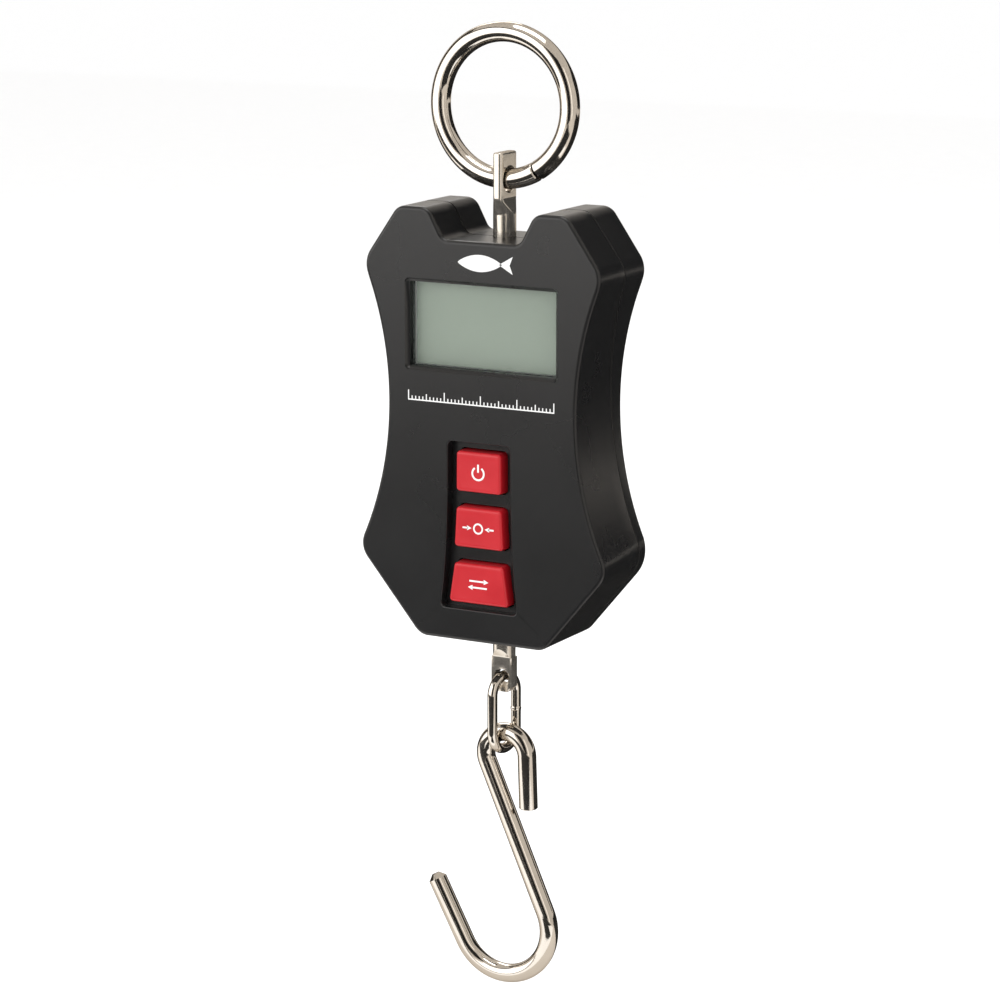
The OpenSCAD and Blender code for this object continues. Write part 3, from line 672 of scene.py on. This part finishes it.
rings = [bolt_ring(eye_lo[2], ROD, ROD, ROD - 0.001)]
for k in range(13):
    t = k / 12
    e = t * t * (3 - 2 * t)
    rings.append(bolt_ring(EYE_Z - 9.2 + 4.6 * t, ROD + (EYE_A - ROD) * e, ROD + (EYE_B - ROD) * e,
                           ROD - 0.001 + (EYE_CORNER - ROD) * e))
for drop, shrink in ((0.5, 0), (0.25, 0.08), (0.08, 0.24), (0, 0.5)):
    rings.append(bolt_ring(eye_hi[2] - drop, EYE_A - shrink, EYE_B - shrink,
                           EYE_CORNER - shrink))
top_eye = loft("top_eye", rings)
hole = []
for x, r in ((-4, 5.6), (-1.46, 3.6), (-1.25, 3.3), (-0.95, 3.2),
             (0.95, 3.2), (1.25, 3.3), (1.46, 3.6), (4, 5.6)):
    hole.append([(x, r * math.cos(math.radians(6 * k)), EYE_Z + r * math.sin(math.radians(6 * k)))
                 for k in range(60)])
cut(top_eye, loft("eye_hole", hole), "DIFFERENCE")
set_material(top_eye, plated_eye)
smooth(top_eye, 34)
flat_faces(top_eye)
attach(top_eye, "case")
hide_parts("top_eye_bolt")

soften(nodes["lower_eye_bolt"], 0.00028, 30, 3)
smooth(nodes["lower_eye_bolt"], 30)
soften(nodes["battery_door"], 0.00025, 40, 2)
smooth(nodes["battery_door"], 30)
for name in ("case_screws", "load_cell_screws", "board_screws", "battery_left", "battery_right",
             "spring_contacts", "thrust_washer", "top_lock_nut", "lower_lock_nut"):
    smooth(nodes[name], 35)


# ---------------------------------------------------------------- stage, light, camera
floor_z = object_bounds()[0][2] - 0.012
bm = bmesh.new()
bmesh.ops.create_circle(bm, cap_ends=True, segments=96, radius=7.0)
bmesh.ops.translate(bm, verts=bm.verts, vec=(0, 0, floor_z))
floor = mesh_object("floor", bm)
set_material(floor, material("floor_pale", (0.95, 0.95, 0.95), rough=0.95, tint=0.005))


def area(name, pos, target, size_x, size_y, power, color=(1, 1, 1)):
    data = bpy.data.lights.new(name, "AREA")
    data.shape = "RECTANGLE"
    data.size = size_x
    data.size_y = size_y
    data.energy = power
    data.color = color
    obj = bpy.data.objects.new(name, data)
    obj.location = pos
    obj.rotation_euler = (Vector(target) - Vector(pos)).to_track_quat("-Z", "Y").to_euler()
    bpy.context.scene.collection.objects.link(obj)


mid = (0, 0, -0.12)  # about the middle of the scale, in m
area("key_light", (-0.59, -0.68, 0.18), mid, 1.30, 0.84, 4.8)
area("fill_light", (0.78, -0.60, 0.1), mid, 0.16, 1.0, 0.4, (1.0, 0.96, 0.90))
area("rim_light", (-0.6, 0.8, 0.6), mid, 0.5, 0.4, 2.0)
area("top_light", (0.0, -0.1, 0.95), mid, 0.6, 0.6, 3.5)


def only_reflected(obj):
    """Hides a studio piece from the camera, the shadows and the diffuse light."""
    obj.visible_camera = False
    obj.visible_shadow = False
    obj.visible_diffuse = False


def flag(name, pos, size_x, size_z, shade):
    """Matt card of the given shade that faces the scale."""
    bm = bmesh.new()
    bmesh.ops.create_grid(bm, x_segments=1, y_segments=1, size=0.5)
    obj = mesh_object(name, bm)
    obj.scale = (size_x, size_z, 1)
    obj.location = pos
    obj.rotation_euler = (Vector(mid) - Vector(pos)).to_track_quat("Z", "Y").to_euler()
    set_material(obj, material(name + "_cloth", shade, rough=0.95, tint=0.02))
    only_reflected(obj)
    return obj


DARK = (0.008, 0.008, 0.008)
WARM = (0.62, 0.57, 0.51)
flag("dark_card_left", (-0.886, 0.156, 0.0), 0.42, 1.3, DARK)
flag("dark_card_room", (0.345, -0.90, 0.0), 0.56, 1.5, DARK)
flag("dark_card_over", (-0.54, -0.62, 0.68), 1.4, 0.16, DARK)
flag("dark_card_back", (0.42, 0.52, floor_z + 0.058), 1.2, 0.112, DARK)
flag("dark_card_rear", (0.28, 0.56, 0.11), 0.96, 0.41, DARK)
for tag, x, y, w, d, lift, turn, shade in (
        ("front", -0.3, -0.53, 1.4, 0.72, 0.002, 0, DARK),
        ("back", 0.0, 0.80, 1.8, 1.54, 0.002, 0, DARK),
        ("strip", 0.13, -0.42, 0.10, 0.75, 0.003, 17, DARK),
        ("near", -0.1, -0.10, 0.7, 0.13, 0.002, 0, (0.95, 0.93, 0.90)),
        ("table", 0.0, 0.0, 5.0, 5.0, 0.001, 0, WARM)):
    low_card = flag("low_card_" + tag, (x, y, floor_z + lift), w, d, shade)
    low_card.rotation_euler = (0, 0, math.radians(turn))

bm = bmesh.new()
bmesh.ops.create_cone(bm, cap_ends=True, segments=96, radius1=2.6, radius2=2.6, depth=3.4)
bmesh.ops.delete(bm, geom=[f for f in bm.faces if f.normal.z < -0.9], context="FACES")
bmesh.ops.translate(bm, verts=bm.verts, vec=(0, 0, floor_z + 1.7))
room = mesh_object("warm_room", bm)
set_material(room, material("warm_room_cloth", WARM, rough=0.95, tint=0.02))
only_reflected(room)

world = bpy.data.worlds.new("studio")
bpy.context.scene.world = world
world.use_nodes = True
bg = world.node_tree.nodes["Background"]
bg.inputs["Color"].default_value = (1, 1, 1, 1)
bg.inputs["Strength"].default_value = 1.05
bpy.context.scene.view_settings.view_transform = "Standard"

AZ, EL, ROLL = math.radians(28.66), math.radians(11.93), math.radians(0.04)
back = Vector((math.sin(AZ) * math.cos(EL), -math.cos(AZ) * math.cos(EL), math.sin(EL)))
right = Vector((math.cos(AZ), math.sin(AZ), 0))
up = back.cross(right)
rolled_right = right * math.cos(ROLL) + up * math.sin(ROLL)
rolled_up = up * math.cos(ROLL) - right * math.sin(ROLL)
cam_data = bpy.data.cameras.new("camera")
cam_data.sensor_width = 36
cam_data.lens = 120.6
cam_data.clip_start = 0.01
cam_data.clip_end = 50
cam = bpy.data.objects.new("camera", cam_data)
rot = Matrix((rolled_right, rolled_up, back)).transposed()
cam.matrix_world = Matrix.Translation((0.41135, -0.75502, 0.06222)) @ rot.to_4x4()
bpy.context.scene.collection.objects.link(cam)
bpy.context.scene.camera = cam
